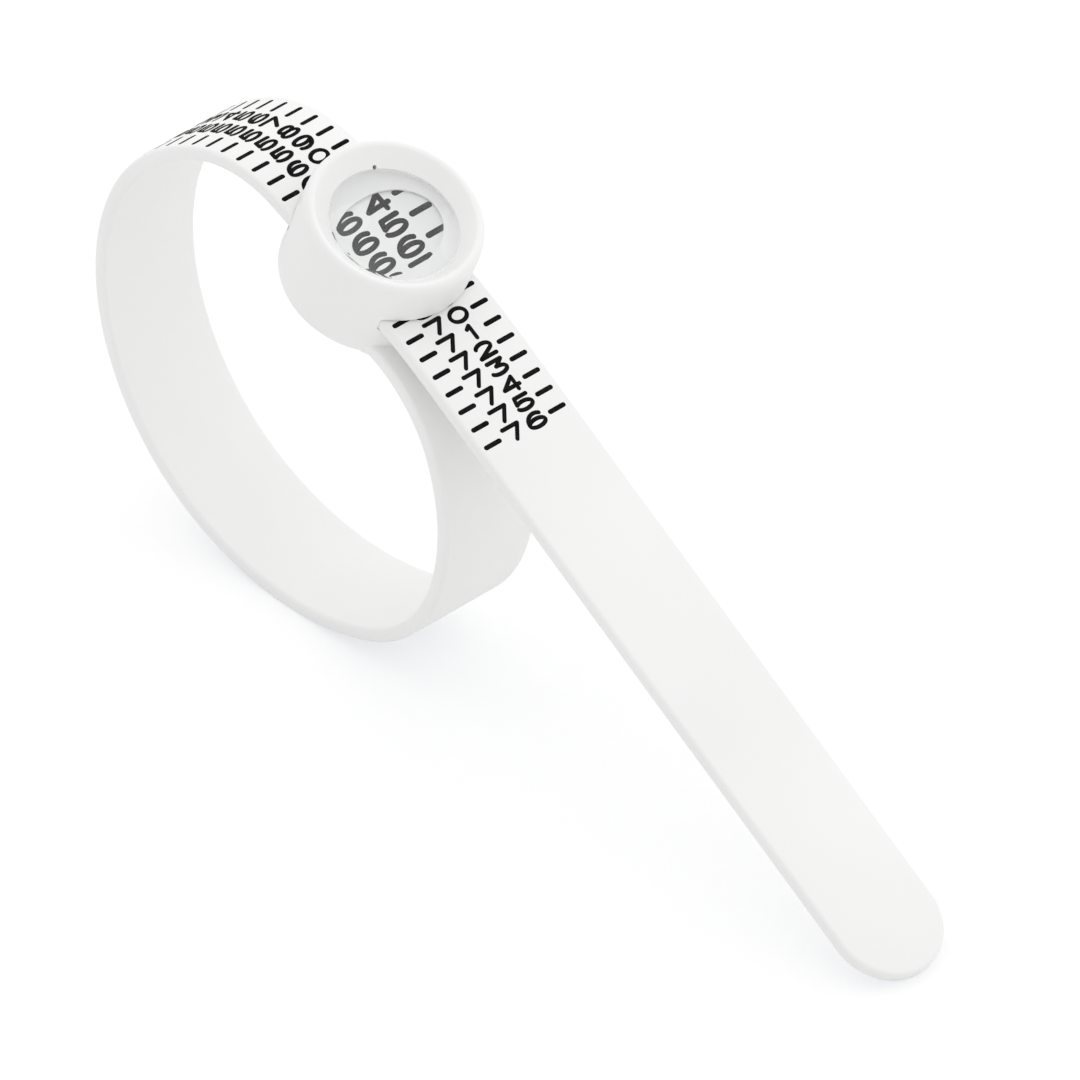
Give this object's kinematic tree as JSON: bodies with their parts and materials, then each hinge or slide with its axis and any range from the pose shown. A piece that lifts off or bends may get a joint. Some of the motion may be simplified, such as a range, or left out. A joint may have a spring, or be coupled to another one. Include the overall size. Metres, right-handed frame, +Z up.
{
  "type": "ring sizer strap",
  "caption": "Belt-type ring sizer: a flat printed strap loops round the finger and returns through a slotted round buckle under a clear domed magnifier, ending in a straight tail.",
  "frame": {"origin": "middle of the bounding box on the floor, where the bottom of the loop and the tip of the tail stand", "axes": "+X towards the tip of the tail, +Y along the width of the strap, +Z up"},
  "size_m": [0.0526, 0.0084, 0.0252],
  "materials": {
    "white_plastic": "satin, smooth moulded",
    "clear_lens": "clear polished acrylic",
    "scale_ink": "matt printed ink"
  },
  "bodies": {
    "buckle": {"buckle": "white_plastic", "magnifier_lens": "clear_lens"},
    "strap": {"strap_run": "white_plastic"},
    "tail": {"strap_tail": "white_plastic"},
    "loop_top": {"loop_top": "white_plastic"},
    "loop_top_left": {"loop_top_left": "white_plastic"},
    "loop_left": {"loop_left": "white_plastic"},
    "loop_bottom_left": {"loop_bottom_left": "white_plastic"},
    "loop_bottom": {"loop_bottom": "white_plastic"},
    "loop_bottom_right": {"loop_bottom_right": "white_plastic"},
    "loop_right": {"loop_right": "white_plastic"},
    "loop_root": {"loop_root": "white_plastic"}
  },
  "joints": [
    {"name": "strap_slide", "type": "slide", "parent": "buckle", "child": "strap", "axis": [-0.9239, 0, 0.3827], "range_m": [-0.0013, 0.0107]},
    {"name": "tail_bend", "type": "hinge", "parent": "strap", "child": "tail", "pos_m": [-0.00547, 0, 0.01947], "axis": [0, -1, 0], "range_deg": [-1.56, 9.26]},
    {"name": "top_bend", "type": "hinge", "parent": "strap", "child": "loop_top", "pos_m": [-0.01379, 0, 0.02291], "axis": [0, -1, 0], "range_deg": [-2.19, 14.41]},
    {"name": "top_left_bend", "type": "hinge", "parent": "loop_top", "child": "loop_top_left", "pos_m": [-0.01892, 0, 0.02291], "axis": [0, -1, 0], "range_deg": [-1.24, 6.6]},
    {"name": "left_bend", "type": "hinge", "parent": "loop_top_left", "child": "loop_left", "pos_m": [-0.02498, 0, 0.01685], "axis": [0, -1, 0], "range_deg": [-3.82, 0.9]},
    {"name": "bottom_left_bend", "type": "hinge", "parent": "loop_left", "child": "loop_bottom_left", "pos_m": [-0.02498, 0, 0.00767], "axis": [0, -1, 0], "range_deg": [-10.13, 1.67]},
    {"name": "bottom_bend", "type": "hinge", "parent": "loop_bottom_left", "child": "loop_bottom", "pos_m": [-0.01875, 0, 0.00144], "axis": [0, -1, 0], "range_deg": [-10.45, 1.71]},
    {"name": "bottom_right_bend", "type": "hinge", "parent": "loop_bottom", "child": "loop_bottom_right", "pos_m": [-0.00801, 0, 0.00144], "axis": [0, -1, 0], "range_deg": [-12.8, 1.99]},
    {"name": "right_bend", "type": "hinge", "parent": "loop_bottom_right", "child": "loop_right", "pos_m": [-0.00352, 0, 0.00594], "axis": [0, -1, 0], "range_deg": [-5.42, 1.1]},
    {"name": "root_bend", "type": "hinge", "parent": "loop_right", "child": "loop_root", "pos_m": [-0.00352, 0, 0.01431], "axis": [0, -1, 0], "range_deg": [-2.81, 19.55]}
  ],
  "couplings": [
    {"joint": "tail_bend", "follows": "strap_slide", "rad_per_m": 14.294},
    {"joint": "top_bend", "follows": "strap_slide", "rad_per_m": 22.689},
    {"joint": "top_left_bend", "follows": "strap_slide", "rad_per_m": 9.9484},
    {"joint": "left_bend", "follows": "strap_slide", "rad_per_m": -5.4105},
    {"joint": "bottom_left_bend", "follows": "strap_slide", "rad_per_m": -15.708},
    {"joint": "bottom_bend", "follows": "strap_slide", "rad_per_m": -16.232},
    {"joint": "bottom_right_bend", "follows": "strap_slide", "rad_per_m": -20.071},
    {"joint": "right_bend", "follows": "strap_slide", "rad_per_m": -8.0285},
    {"joint": "root_bend", "follows": "strap_slide", "rad_per_m": 31.067}
  ]
}
